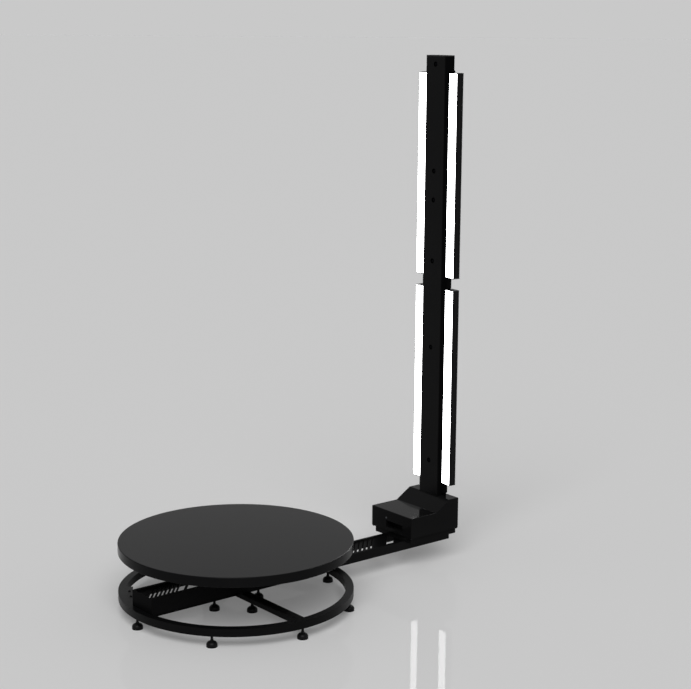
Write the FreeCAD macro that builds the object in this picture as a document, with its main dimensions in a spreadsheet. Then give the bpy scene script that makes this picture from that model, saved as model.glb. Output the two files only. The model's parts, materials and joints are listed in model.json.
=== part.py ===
import FreeCAD, Part
import math
import os
import Sketcher

os.makedirs("parts", exist_ok=True)
doc = FreeCAD.newDocument("BodyScanner")

# Walk-on scanner: a turntable on a levelled ring frame, and a camera mast at the end of a long arm.
# The arm runs along +X, the mast stands at its far end, and the feet stand on the plane at height 0.
# Sizes are in millimetres. Positions along the arm are counted from the turntable's axis.

SIZES = [
    ("axis_x", -294.03, "turntable axis along the frame"),
    ("deck_radius", 450, "turntable deck"),
    ("deck_top", 265, "height of the standing surface"),
    ("deck_depth", 37.5, "deck, top to rim edge"),
    ("deck_plate", 6, "deck skin"),
    ("deck_rim", 7, "deck rim wall"),
    ("deck_round", 3, "rounding of the deck's edge"),
    ("rib_count", 12, "ribs under the deck"),
    ("rib_wide", 5, "rib thickness"),
    ("hub_radius", 112, "boss under the deck's middle"),
    ("track_mid", 205, "radius of the drive track"),
    ("track_wide", 44, "width of the drive track"),
    ("track_plate", 4, "thickness of the drive track"),
    ("ring_outer", 451, "base ring, outside"),
    ("ring_bar", 30, "base ring tube, radial"),
    ("ring_high", 30, "base ring tube, height"),
    ("ring_wall", 2, "wall of the frame tubes"),
    ("ring_low", 42.5, "underside of the base ring"),
    ("spoke_wide", 40, "cross tube width"),
    ("spoke_high", 20, "cross tube height"),
    ("weld_gap", 0.2, "root gap at welded ends"),
    ("foot_out", 1, "outer feet beyond the middle of the ring tube"),
    ("foot_turn", -1.8, "turn of the outer feet about the axis, degrees"),
    ("foot_inner", 103, "inner feet from the axis"),
    ("foot_radius", 20.5, "foot pad"),
    ("foot_skirt", 8, "straight part of the foot pad"),
    ("foot_dome", 15, "rise of the foot's dome"),
    ("stem_radius", 5, "foot stem"),
    ("stem_top", 52, "top of the foot stem"),
    ("neck_radius", 6.5, "collar above the dome"),
    ("neck_top", 26, "top of the collar"),
    ("stem_fit", 0.08, "stem running clearance"),
    ("insert_radius", 7.5, "threaded insert body"),
    ("insert_flange", 10, "threaded insert flange"),
    ("insert_deep", 9, "threaded insert length"),
    ("insert_lip", 1, "threaded insert flange thickness"),
    ("beam_half", 66, "half width of both beams"),
    ("beam_rail", 14, "width of the hollow rails along both beams"),
    ("rail_wall", 2, "wall of the rails"),
    ("beam_web", 3, "beam web"),
    ("table_back", 27, "near end of the table beam inside the ring's outer face"),
    ("table_over", 19, "table beam beyond the ring at its far end"),
    ("table_high", 61.5, "table beam rail height"),
    ("end_plate", 3, "plate that closes the near end of the table beam"),
    ("arm_end", 1044, "far end of the arm beam"),
    ("arm_high", 38, "arm beam rail height"),
    ("web_drop", 4, "webs below the rails' tops"),
    ("butt_gap", 0.4, "gap where the two beams meet"),
    ("slot_half", 49, "half reach of the slanted slots across the beam"),
    ("slot_lean", 0.91, "run of the slots along the beam for their reach across it"),
    ("slot_wide", 8, "slot width along the beam"),
    ("table_pitch", 18.4, "slot spacing in the table beam"),
    ("table_slots", 7, "slots in the table beam"),
    ("table_slot", -381.6, "first slot of the table beam"),
    ("arm_pitch", 23.3, "slot spacing in the arm beam"),
    ("arm_slots", 6, "slots in the arm beam"),
    ("arm_slot", 558.4, "first slot of the arm beam"),
    ("table_window", -258, "first cable window of the table beam"),
    ("window_short", 27, "length of the short window"),
    ("window_bar", 13.5, "bar between the windows"),
    ("window_long", 67, "length of the long window"),
    ("arm_window", 757, "cable window of the arm beam"),
    ("arm_window_long", 37, "its length along the arm"),
    ("relief_start", -365, "relief under the table beam's far rail"),
    ("relief_long", 290, "length of the relief"),
    ("relief_high", 31.5, "height of the relief"),
    ("splice_wall", 4, "splice channel wall"),
    ("splice_lift", 1, "splice channel above the beams' feet"),
    ("splice_high", 20, "splice channel height"),
    ("splice_back", 90, "splice inside the table beam"),
    ("splice_on", 90, "splice inside the arm beam"),
    ("bolt_radius", 4, "frame bolt shank"),
    ("bolt_head", 6, "frame bolt head radius"),
    ("bolt_head_high", 4.5, "frame bolt head height"),
    ("bolt_long", 10, "frame bolt shank length"),
    ("bolt_fit", 0.25, "clearance of a bolt in its hole"),
    ("packer_long", 40, "packing block along the arm"),
    ("packer_wide", 14, "packing block across the arm"),
    ("post_foot", 50, "bearing post's foot flange"),
    ("post_flange", 8, "flange thickness of the bearing post"),
    ("post_radius", 40, "bearing post tube"),
    ("post_bore", 30, "bearing post bore"),
    ("race_low", 182, "underside of the slewing bearing"),
    ("race_high", 24, "height of the slewing bearing"),
    ("race_outer", 88, "slewing bearing, outside"),
    ("race_pitch", 68, "radius of the ball circle"),
    ("race_inner", 48, "slewing bearing, bore"),
    ("race_gap", 0.8, "gap between the two bearing rings"),
    ("race_lift", 1.2, "step between the faces of the rings"),
    ("ball_radius", 5, "bearing ball"),
    ("ball_fit", 0.3, "clearance of a ball in its groove"),
    ("ball_count", 12, "bearing balls"),
    ("wheel_radius", 30, "drive wheel"),
    ("wheel_wide", 22, "drive wheel width"),
    ("wheel_gap", 0.3, "wheel below the track"),
    ("shaft_radius", 5, "motor shaft"),
    ("shaft_fit", 0.05, "wheel bore clearance on the shaft"),
    ("motor_radius", 27, "gearmotor can"),
    ("motor_long", 70, "gearmotor length"),
    ("motor_bracket", 4, "motor bracket plate"),
    ("motor_foot", 116, "motor bracket's foot along the cross tube"),
    ("motor_half", 30, "half width of the motor bracket"),
    ("motor_spigot", 4, "room round the shaft in the motor bracket"),
    ("gusset_long", 60, "gusset of the motor bracket"),
    ("box_front", 780, "front of the electronics housing"),
    ("box_back", 1040, "back of the electronics housing"),
    ("box_half", 125, "half width of the housing"),
    ("box_low", 137, "lower edge of the cover"),
    ("shelf_top", 222, "low front part of the cover"),
    ("shelf_end", 915, "where the slope begins"),
    ("box_top", 266, "high rear part of the cover"),
    ("slope_end", 986, "where the slope ends"),
    ("box_wall", 2, "sheet of the cover and the tray"),
    ("box_round", 3, "rounding of the cover's edges"),
    ("bay_left", 33, "front bay, far side"),
    ("bay_right", -71, "front bay, near side"),
    ("bay_low", 151, "front bay, floor"),
    ("bay_high", 28, "front bay height"),
    ("bay_deep", 30, "front bay depth"),
    ("tray_inset", 10, "tray behind the cover's front"),
    ("tray_side", 14, "tray inside the cover's sides"),
    ("tray_gap", 0.3, "clearance of the tray flange in the cover"),
    ("boss_radius", 5.5, "screw boss in the cover"),
    ("boss_bite", 1, "depth of a screw boss in the wall"),
    ("boss_high", 18, "length of a screw boss"),
    ("screw_radius", 2, "cover screw shank"),
    ("screw_head", 4, "cover screw head radius"),
    ("screw_head_high", 2.4, "cover screw head height"),
    ("screw_long", 12, "cover screw shank length"),
    ("screw_fit", 0.2, "clearance of a cover screw in the tray"),
    ("light_y", 31, "status light across the front"),
    ("light_z", 190, "status light height"),
    ("light_radius", 4, "status light lens"),
    ("light_stem", 3, "status light body"),
    ("light_fit", 0.1, "clearance of the light in its hole"),
    ("vent_count", 6, "vent slots in the back"),
    ("vent_pitch", 8, "vent slot spacing"),
    ("vent_wide", 3, "vent slot width"),
    ("vent_long", 38, "vent slot height"),
    ("inlet_y", 91, "power inlet across the back"),
    ("inlet_z", 168, "power inlet height"),
    ("inlet_wide", 27, "power inlet body width"),
    ("inlet_high", 20, "power inlet body height"),
    ("inlet_deep", 26, "power inlet body depth"),
    ("inlet_lip", 3, "power inlet flange overlap"),
    ("inlet_plate", 2.5, "power inlet flange thickness"),
    ("panel_fit", 0.15, "clearance of pieces set in the sheet"),
    ("switch_z", 205, "power switch height"),
    ("switch_wide", 18, "rocker width"),
    ("switch_high", 24, "rocker length"),
    ("switch_deep", 10, "rocker depth"),
    ("switch_frame", 4, "switch frame around the rocker"),
    ("switch_body", 20, "switch body depth"),
    ("switch_gap", 0.5, "gap round the rocker"),
    ("switch_tilt", 7, "tilt of the rocker, degrees"),
    ("rocker_pin", 1.5, "rocker pin radius"),
    ("rocker_fit", 0.06, "rocker pin clearance"),
    ("supply_long", 125, "power supply along the arm"),
    ("supply_wide", 90, "power supply width"),
    ("supply_high", 38, "power supply height"),
    ("computer_long", 120, "computer along the arm"),
    ("computer_wide", 110, "computer width"),
    ("computer_high", 34, "computer height"),
    ("pad_high", 4, "mounting pads under both units"),
    ("pad_radius", 5, "radius of the mounting pads"),
    ("pad_inset", 10, "mounting pads inside the units' corners"),
    ("unit_gap", 6, "room round both units"),
    ("mast_front", 982, "front of the mast"),
    ("mast_deep", 52, "mast depth"),
    ("mast_half", 56.7, "half width of the mast"),
    ("mast_wall", 3, "mast tube wall"),
    ("mast_round", 4, "mast corner radius"),
    ("mast_top", 2070, "top end of the mast tube"),
    ("mast_gap", 0.6, "gap round the mast in the cover"),
    ("mast_plate", 6, "base plate thickness"),
    ("mast_plate_reach", 26, "base plate in front of the mast"),
    ("mast_plate_edge", 1, "edges of the base plate inside the rails' faces"),
    ("mast_bolt_in", 12, "base plate bolts from its front edge"),
    ("cap_plate", 5, "top cap plate"),
    ("cap_plug", 7, "top cap plug"),
    ("cap_fit", 0.2, "clearance of the cap's plug"),
    ("lens_hole", 10.5, "camera hole radius"),
    ("lens_fit", 0.3, "clearance round the camera barrel"),
    ("camera_wide", 58, "camera module width"),
    ("camera_high", 44, "camera module height"),
    ("camera_deep", 26, "camera module depth"),
    ("lens_set", 1, "barrel behind the mast's face"),
    ("camera_1_z", 410, "lowest camera"),
    ("camera_2_z", 891, "second camera"),
    ("camera_3_z", 1249, "third camera"),
    ("camera_4_z", 1498, "fourth camera"),
    ("camera_5_z", 1615, "fifth camera"),
    ("camera_drop", 30, "highest camera below the mast's top"),
    ("lamp_low", 320, "lower end of the lower lamps"),
    ("lamp_long", 818, "length of a lamp"),
    ("lamp_between", 48, "gap between the lamps"),
    ("lamp_wide", 60, "lamp width"),
    ("lamp_deep", 25, "lamp depth"),
    ("lamp_wall", 1.2, "lamp profile wall"),
    ("lamp_cap", 3, "lamp end cap"),
    ("cap_boss", 9, "pivot boss of the end cap inside the profile"),
    ("cap_boss_radius", 7, "radius of the pivot boss"),
    ("lamp_ledge", 3, "ledge of the lamp profile behind the diffuser"),
    ("diffuser_deep", 5, "lamp diffuser thickness"),
    ("diffuser_fit", 0.2, "clearance of the diffuser"),
    ("pivot_x", 1012.8, "lamp pivot along the arm"),
    ("pivot_y", 75.8, "lamp pivot from the mid plane"),
    ("pivot_in", 14, "lamp pivot from the lamp's inner side"),
    ("lamp_toe", 6.5, "toe-in of the lamps, degrees"),
    ("pin_radius", 4, "lamp pivot pin"),
    ("pin_fit", 0.06, "pin running clearance"),
    ("arm_plate", 4, "lamp bracket arm thickness"),
    ("leg_plate", 3, "lamp bracket leg thickness"),
    ("leg_high", 34, "lamp bracket leg height"),
    ("bracket_wide", 18, "lamp bracket along the arm"),
]

sheet = doc.addObject("Spreadsheet::Sheet", "Sizes")
VALUES = {}
for row, (alias, number, note) in enumerate(SIZES, start=1):
    sheet.set("A%d" % row, note)
    sheet.set("B%d" % row, str(number))
    sheet.setAlias("B%d" % row, alias)
    VALUES[alias] = float(number)
doc.recompute()


class Size:
    """A length that knows its value and the sheet formula behind it."""

    def __init__(self, value, text):
        self.value = float(value)
        self.text = text

    def __add__(self, other):
        other = as_size(other)
        return Size(self.value + other.value, "(%s + %s)" % (self.text, other.text))

    __radd__ = __add__

    def __sub__(self, other):
        other = as_size(other)
        return Size(self.value - other.value, "(%s - %s)" % (self.text, other.text))

    def __rsub__(self, other):
        return as_size(other) - self

    def __mul__(self, other):
        other = as_size(other)
        return Size(self.value * other.value, "(%s * %s)" % (self.text, other.text))

    __rmul__ = __mul__

    def __truediv__(self, other):
        other = as_size(other)
        return Size(self.value / other.value, "(%s / %s)" % (self.text, other.text))

    def __neg__(self):
        return Size(-self.value, "(0 - %s)" % self.text)

    def root(self):
        return Size(math.sqrt(self.value), "sqrt(%s)" % self.text)


def as_size(number):
    if isinstance(number, Size):
        return number
    return Size(number, repr(float(number)))


def S(alias):
    return Size(VALUES[alias], "Sizes." + alias)


ZERO = as_size(0)


def bind(obj, prop, size):
    obj.setExpression(prop, as_size(size).text)


def place(obj, x, y, z):
    bind(obj, "Placement.Base.x", x)
    bind(obj, "Placement.Base.y", y)
    bind(obj, "Placement.Base.z", z)


# Plain solids

AXES = {
    "x": FreeCAD.Rotation(FreeCAD.Vector(0, 1, 0), 90),
    "y": FreeCAD.Rotation(FreeCAD.Vector(1, 0, 0), -90),
    "z": FreeCAD.Rotation(),
}


def box(name, x0, x1, y0, y1, z0, z1):
    solid = doc.addObject("Part::Box", name)
    bind(solid, "Length", as_size(x1) - x0)
    bind(solid, "Width", as_size(y1) - y0)
    bind(solid, "Height", as_size(z1) - z0)
    place(solid, x0, y0, z0)
    return solid


def rod(name, x, y, z, radius, length, axis="z"):
    """A cylinder that starts at the given point and runs the positive way along its axis."""
    solid = doc.addObject("Part::Cylinder", name)
    bind(solid, "Radius", radius)
    bind(solid, "Height", length)
    solid.Placement = FreeCAD.Placement(FreeCAD.Vector(), AXES[axis])
    place(solid, x, y, z)
    return solid


def join(name, shapes):
    fused = doc.addObject("Part::MultiFuse", name)
    fused.Shapes = shapes
    return fused


def cut(name, base, tools):
    tool = tools[0] if len(tools) == 1 else join(name + "_tools", tools)
    result = doc.addObject("Part::Cut", name)
    result.Base = base
    result.Tool = tool
    return result


def common(name, first, second):
    result = doc.addObject("Part::Common", name)
    result.Base = first
    result.Tool = second
    return result


def group(name, shapes):
    """Identical loose pieces kept side by side in one node."""
    result = doc.addObject("Part::Compound", name)
    result.Links = shapes
    return result


# Sketched bodies

def origin_plane(body, role):
    return [item for item in body.Origin.OriginFeatures if item.Role == role][0]


def sketch(body, name, role, offset, loops):
    """A fully dimensioned sketch: loops are polygons of Size pairs, or (x, y, radius) circles."""
    sk = body.newObject("Sketcher::SketchObject", name)
    sk.AttachmentSupport = [(origin_plane(body, role), "")]
    sk.MapMode = "FlatFace"
    bind(sk, "AttachmentOffset.Base.z", offset)
    limits = 0
    for loop in loops:
        if isinstance(loop, tuple):
            x, y, radius = [as_size(item) for item in loop]
            centre = FreeCAD.Vector(x.value, y.value, 0)
            item = sk.addGeometry(Part.Circle(centre, FreeCAD.Vector(0, 0, 1), radius.value), False)
            limits = dimension(sk, item, 3, x, y, limits)
            name_of = "c%d" % limits
            index = sk.addConstraint(Sketcher.Constraint("Radius", item, radius.value))
            sk.renameConstraint(index, name_of)
            bind(sk, "Constraints." + name_of, radius)
            limits += 1
            continue
        points = [(as_size(x), as_size(y)) for x, y in loop]
        first = sk.GeometryCount
        count = len(points)
        for number, (x, y) in enumerate(points):
            x2, y2 = points[(number + 1) % count]
            sk.addGeometry(Part.LineSegment(FreeCAD.Vector(x.value, y.value, 0),
                                            FreeCAD.Vector(x2.value, y2.value, 0)), False)
        for number in range(count):
            sk.addConstraint(Sketcher.Constraint(
                "Coincident", first + number, 2, first + (number + 1) % count, 1))
        for number, (x, y) in enumerate(points):
            limits = dimension(sk, first + number, 1, x, y, limits)
    return sk


def dimension(sk, item, point, x, y, limits):
    for kind, size, line in (("DistanceX", x, -2), ("DistanceY", y, -1)):
        if size.text == ZERO.text:
            sk.addConstraint(Sketcher.Constraint("PointOnObject", item, point, line))
            continue
        name_of = "c%d" % limits
        index = sk.addConstraint(Sketcher.Constraint(kind, -1, 1, item, point, size.value))
        sk.renameConstraint(index, name_of)
        bind(sk, "Constraints." + name_of, size)
        limits += 1
    return limits


def new_body(name):
    return doc.addObject("PartDesign::Body", name)


def pad(body, sk, name, length, middle=False, back=False):
    feature = body.newObject("PartDesign::Pad", name)
    feature.Profile = sk
    bind(feature, "Length", length)
    feature.Midplane = middle
    feature.Reversed = back
    sk.Visibility = False
    return feature


def pocket(body, sk, name, length, middle=False, back=False):
    feature = body.newObject("PartDesign::Pocket", name)
    feature.Profile = sk
    bind(feature, "Length", length)
    feature.Midplane = middle
    feature.Reversed = back
    return feature


def turn(body, sk, name):
    feature = body.newObject("PartDesign::Revolution", name)
    feature.Profile = sk
    feature.ReferenceAxis = (sk, ["V_Axis"])
    feature.Angle = 360
    return feature


def groove(body, sk, name):
    feature = body.newObject("PartDesign::Groove", name)
    feature.Profile = sk
    feature.ReferenceAxis = (sk, ["V_Axis"])
    feature.Angle = 360
    return feature


def row_of(body, sk, feature, name, length, count):
    pattern = body.newObject("PartDesign::LinearPattern", name)
    pattern.Originals = [feature]
    pattern.Direction = (sk, ["H_Axis"])
    bind(pattern, "Length", length)
    bind(pattern, "Occurrences", count)
    body.Tip = pattern
    return pattern


def round_edges(body, name, radius, wanted):
    """Rounds the edges of the body's last feature that the test picks."""
    doc.recompute()
    base = body.Tip
    names = ["Edge%d" % number for number, edge in enumerate(base.Shape.Edges, start=1) if wanted(edge)]
    feature = body.newObject("PartDesign::Fillet", name)
    feature.Base = (base, names)
    bind(feature, "Radius", radius)
    return feature


def rectangle(x0, x1, y0, y1):
    return [(x0, y0), (x1, y0), (x1, y1), (x0, y1)]


PIECES = []


def piece(node, obj):
    obj.Label = node
    PIECES.append((node, obj))
    return obj


def runs_along(edge, direction):
    if edge.Curve.TypeId != "Part::GeomLine":
        return False
    return abs(abs(edge.tangentAt(edge.FirstParameter).dot(direction)) - 1) < 1e-6


X = FreeCAD.Vector(1, 0, 0)
Y = FreeCAD.Vector(0, 1, 0)
Z = FreeCAD.Vector(0, 0, 1)
axis = S("axis_x")

# Frame heights that several pieces share
ring_top = S("ring_low") + S("ring_high")
ring_inner = S("ring_outer") - S("ring_bar")
spoke_top = S("ring_low") + S("spoke_high")
beam_foot = ring_top
table_top = beam_foot + S("table_high")
table_web_top = table_top - S("web_drop")
arm_top = beam_foot + S("arm_high")
arm_web_top = arm_top - S("web_drop")
beam_inside = S("beam_half") - S("beam_rail")
table_start = S("table_back") - S("ring_outer")
table_end = S("ring_outer") + S("table_over")
deck_low = S("deck_top") - S("deck_depth")

# Feet: eight under the ring and four under the cross tubes
FOOT_ANGLES = [math.radians(45 * number + VALUES["foot_turn"]) for number in range(8)]
INNER = [(1, 0), (0, 1), (-1, 0), (0, -1)]
foot_circle = S("ring_outer") - S("ring_bar") / 2 + S("foot_out")
FEET = [(foot_circle * math.cos(angle), foot_circle * math.sin(angle)) for angle in FOOT_ANGLES]
FEET += [(S("foot_inner") * c, S("foot_inner") * s) for c, s in INNER]

# Base ring: a rolled rectangular tube
body = new_body("RingBody")
outline = rectangle(ring_inner, S("ring_outer"), S("ring_low"), ring_top)
hollow = rectangle(ring_inner + S("ring_wall"), S("ring_outer") - S("ring_wall"),
                   S("ring_low") + S("ring_wall"), ring_top - S("ring_wall"))
turn(body, sketch(body, "RingProfile", "XZ_Plane", ZERO, [outline, hollow]), "RingTube")
holes = sketch(body, "RingHoles", "XY_Plane", S("ring_low"),
               [(x, y, S("insert_radius") + S("weld_gap")) for x, y in FEET[:8]])
pocket(body, holes, "RingFootHoles", S("ring_wall") * 2, middle=True)
place(body, axis, ZERO, ZERO)
piece("base_ring", body)

# Cross tubes, coped to the ring's inner wall
reach = ring_inner - S("weld_gap")


def cope(name):
    return rod(name, axis, ZERO, S("ring_low") - S("ring_wall"), reach, S("spoke_high") + S("ring_wall") * 2)


def spoke_holes(name, spots):
    return [rod("%s%d" % (name, n), axis + x, y, S("ring_low") - S("ring_wall"),
                S("insert_radius") + S("weld_gap"), S("ring_wall") * 3)
            for n, (x, y) in enumerate(spots)]


half = S("spoke_wide") / 2
tube = box("SpokeX", axis - reach, axis + reach, -half, half, S("ring_low"), spoke_top)
inside = box("SpokeXInside", axis - reach - half, axis + reach + half, S("ring_wall") - half, half - S("ring_wall"),
             S("ring_low") + S("ring_wall"), spoke_top - S("ring_wall"))
open_tube = cut("SpokeXTube", tube, [inside] + spoke_holes("SpokeXHole", [FEET[8], FEET[10]]))
piece("cross_tube_long", common("CrossTubeLong", open_tube, cope("CopeX")))
for side, sign in (("left", 1), ("right", -1)):
    name = "Spoke" + side
    start = half + S("weld_gap")
    ends = (start, reach) if sign > 0 else (-reach, -start)
    tube = box(name, axis - half, axis + half, ends[0], ends[1], S("ring_low"), spoke_top)
    inside = box(name + "Inside", axis - half + S("ring_wall"), axis + half - S("ring_wall"),
                 ends[0] - half, ends[1] + half, S("ring_low") + S("ring_wall"), spoke_top - S("ring_wall"))
    spot = FEET[9] if sign > 0 else FEET[11]
    open_tube = cut(name + "Tube", tube, [inside] + spoke_holes(name + "Hole", [spot]))
    piece("cross_tube_" + side, common("CrossTube" + side, open_tube, cope("Cope" + side)))

# Threaded inserts that carry the feet
inserts = []
for number, (x, y) in enumerate(FEET, start=1):
    low = S("ring_low")
    lip = rod("Lip%d" % number, axis + x, y, low - S("insert_lip"), S("insert_flange"), S("insert_lip"))
    sleeve = rod("Sleeve%d" % number, axis + x, y, low - S("insert_lip"), S("insert_radius"),
                 S("insert_lip") + S("insert_deep"))
    bore = rod("Bore%d" % number, axis + x, y, low - S("insert_deep"), S("stem_radius") + S("stem_fit"),
               S("insert_deep") * 3)
    inserts.append(cut("Insert%d" % number, join("InsertBody%d" % number, [lip, sleeve]), [bore]))
piece("foot_inserts", group("FootInserts", inserts))

# Levelling feet: a domed pad with its stem
foot_pad = rod("FootPad", ZERO, ZERO, ZERO, S("foot_radius"), S("foot_skirt"))
foot_dome = doc.addObject("Part::Ellipsoid", "FootDome")
bind(foot_dome, "Radius1", S("foot_dome"))
bind(foot_dome, "Radius2", S("foot_radius"))
foot_dome.Angle1 = 0
bind(foot_dome, "Placement.Base.z", S("foot_skirt"))
foot_neck = rod("FootNeck", ZERO, ZERO, S("foot_skirt"), S("neck_radius"), S("neck_top") - S("foot_skirt"))
foot_stem = rod("FootStem", ZERO, ZERO, S("foot_skirt"), S("stem_radius"), S("stem_top") - S("foot_skirt"))
for number, (x, y) in enumerate(FEET, start=1):
    foot = join("Foot%02d" % number, [foot_pad, foot_dome, foot_neck, foot_stem])
    place(foot, axis + x, y, ZERO)
    piece("levelling_foot_%02d" % number, foot)


# Beams: two hollow rails joined by a web, with slanted slots and cable windows through the web
def beam_profile(high, web_top):
    wide = S("beam_half")
    wall = S("rail_wall")
    web_low = web_top - S("beam_web")
    outline = [(-wide, beam_foot), (-beam_inside, beam_foot), (-beam_inside, web_low), (beam_inside, web_low),
               (beam_inside, beam_foot), (wide, beam_foot), (wide, high), (beam_inside, high),
               (beam_inside, web_top), (-beam_inside, web_top), (-beam_inside, high), (-wide, high)]
    right = rectangle(wall - wide, -beam_inside - wall, beam_foot + wall, high - wall)
    left = rectangle(beam_inside + wall, wide - wall, beam_foot + wall, high - wall)
    return [outline, right, left]


def slanted(x0, x1):
    """Outline of an opening between two slanted edges, which cross the mid line at x0 and x1."""
    across = S("slot_half")
    lean = across * S("slot_lean")
    return [(x0 - lean, -across), (x1 - lean, -across), (x1 + lean, across), (x0 + lean, across)]


def slot_row(body, name, first, web_top, pitch, count):
    wide = S("slot_wide") / 2
    sk = sketch(body, name + "Shape", "XY_Plane", web_top + S("beam_web"), [slanted(first - wide, first + wide)])
    feature = pocket(body, sk, name + "Slot", S("beam_web") * 3)
    row_of(body, sk, feature, name + "Row", pitch * (count - 1), count)


def window(body, name, web_top, x0, x1):
    sk = sketch(body, name + "Shape", "XY_Plane", web_top + S("beam_web"), [slanted(x0, x1)])
    pocket(body, sk, name, S("beam_web") * 3)


bolt_height = beam_foot + S("splice_high") / 2
bolt_reach = (beam_inside + S("rail_wall")) * 2 + S("rail_wall")


def bolt_holes(body, name, spots):
    """Holes for the splice's bolts through the inner walls of both rails."""
    sk = sketch(body, name + "Shape", "XZ_Plane", ZERO,
                [(x, bolt_height, S("bolt_radius") + S("bolt_fit")) for x in spots])
    pocket(body, sk, name, bolt_reach, middle=True)


splice_spots = [table_end - S("splice_back") * 0.7, table_end - S("splice_back") * 0.3,
                table_end + S("splice_on") * 0.3, table_end + S("splice_on") * 0.7]

body = new_body("TableBeamBody")
sk = sketch(body, "TableBeamProfile", "YZ_Plane", table_start, beam_profile(table_top, table_web_top))
pad(body, sk, "TableBeamPad", table_end - table_start)
slot_row(body, "TableSlot", S("table_slot"), table_web_top, S("table_pitch"), S("table_slots"))
first = S("table_window")
second = first + S("window_short") + S("window_bar")
window(body, "TableWindowShort", table_web_top, first, first + S("window_short"))
window(body, "TableWindowLong", table_web_top, second, second + S("window_long"))
bolt_holes(body, "TableBoltHoles", splice_spots[:2])
sk = sketch(body, "ReliefShape", "XY_Plane", beam_foot - S("rail_wall"),
            [rectangle(S("relief_start"), S("relief_start") + S("relief_long"),
                       beam_inside - S("rail_wall"), S("beam_half") + S("rail_wall"))])
pocket(body, sk, "Relief", S("relief_high") + S("rail_wall"), back=True)
sk = sketch(body, "EndPlateShape", "YZ_Plane", table_start,
            [rectangle(-S("beam_half"), S("beam_half"), beam_foot, table_top)])
pad(body, sk, "EndPlate", S("end_plate"))
place(body, axis, ZERO, ZERO)
piece("table_beam", body)

arm_start = table_end + S("butt_gap")
body = new_body("ArmBeamBody")
sk = sketch(body, "ArmBeamProfile", "YZ_Plane", arm_start, beam_profile(arm_top, arm_web_top))
pad(body, sk, "ArmBeamPad", S("arm_end") - arm_start)
slot_row(body, "ArmSlot", S("arm_slot"), arm_web_top, S("arm_pitch"), S("arm_slots"))
window(body, "ArmWindow", arm_web_top, S("arm_window"), S("arm_window") + S("arm_window_long"))
bolt_holes(body, "ArmBoltHoles", splice_spots[2:])
rail_mid = S("beam_half") - S("beam_rail") / 2
plate_x0 = S("mast_front") - S("mast_plate_reach")
plate_x1 = S("mast_front") + S("mast_deep") + S("mast_plate_edge")
plate_y = S("beam_half") - S("mast_plate_edge")
mast_back = S("mast_front") + S("mast_deep")
mast_spots = [(plate_x0 + S("mast_bolt_in"), y) for y in (rail_mid, -rail_mid)]
holes = sketch(body, "MastBoltHoles", "XY_Plane", arm_top + S("rail_wall"),
               [(x, y, S("bolt_radius") + S("bolt_fit")) for x, y in mast_spots])
pocket(body, holes, "MastBoltPocket", S("rail_wall") * 3)
place(body, axis, ZERO, ZERO)
piece("arm_beam", body)

# Splice channel inside both beams
wide = beam_inside - S("weld_gap")
low = beam_foot + S("splice_lift")
high = low + S("splice_high")
ins = wide - S("splice_wall")
body = new_body("SpliceBody")
shape = [(-wide, low), (-ins, low), (-ins, high - S("splice_wall")), (ins, high - S("splice_wall")),
         (ins, low), (wide, low), (wide, high), (-wide, high)]
sk = sketch(body, "SpliceProfile", "YZ_Plane", table_end - S("splice_back"), [shape])
pad(body, sk, "SplicePad", S("splice_back") + S("splice_on"))
sk = sketch(body, "SpliceHoleShape", "XZ_Plane", ZERO,
            [(x, bolt_height, S("bolt_radius") + S("weld_gap")) for x in splice_spots])
pocket(body, sk, "SpliceHoles", bolt_reach, middle=True)
place(body, axis, ZERO, ZERO)
piece("beam_splice", body)

# Frame bolts: eight from inside the splice into the rails, and two at the mast's base plate
bolts = []
bite = S("bolt_head_high") / 2
for number, x in enumerate(splice_spots):
    for sign in (1, -1):
        name = "SpliceBolt%d%s" % (number, "L" if sign > 0 else "R")
        if sign > 0:
            head_y = ins - S("bolt_head_high")
            shank_y = ins - bite
        else:
            head_y = -ins
            shank_y = -ins - S("bolt_long")
        head = rod(name + "Head", axis + x, head_y, bolt_height, S("bolt_head"), S("bolt_head_high"), "y")
        shank = rod(name + "Shank", axis + x, shank_y, bolt_height, S("bolt_radius"), S("bolt_long") + bite, "y")
        bolts.append(join(name, [head, shank]))
plate_top = arm_top + S("mast_plate")
for number, (x, y) in enumerate(mast_spots):
    name = "MastBolt%d" % number
    head = rod(name + "Head", axis + x, y, plate_top, S("bolt_head"), S("bolt_head_high"))
    shank = rod(name + "Shank", axis + x, y, plate_top - S("bolt_long"), S("bolt_radius"), S("bolt_long") + bite)
    bolts.append(join(name, [head, shank]))
piece("frame_bolts", group("FrameBolts", bolts))

# Packing blocks between the beam's rails and the cross tubes
packers = []
for sign in (1, -1):
    mid = rail_mid * sign
    packers.append(box("Packer%d" % (sign + 1), axis - S("packer_long") / 2, axis + S("packer_long") / 2,
                       mid - S("packer_wide") / 2, mid + S("packer_wide") / 2, spoke_top, beam_foot))
piece("beam_packers", group("BeamPackers", packers))

# Bearing post: a flanged tube on the table beam's web
body = new_body("PostBody")
foot_low = table_web_top
foot_high = foot_low + S("post_flange")
head_low = S("race_low") - S("post_flange")
shape = [(S("post_bore"), foot_low), (S("post_foot"), foot_low), (S("post_foot"), foot_high),
         (S("post_radius"), foot_high), (S("post_radius"), head_low), (S("race_outer"), head_low),
         (S("race_outer"), S("race_low")), (S("post_bore"), S("race_low"))]
turn(body, sketch(body, "PostProfile", "XZ_Plane", ZERO, [shape]), "PostTurned")
place(body, axis, ZERO, ZERO)
piece("bearing_post", body)

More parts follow.
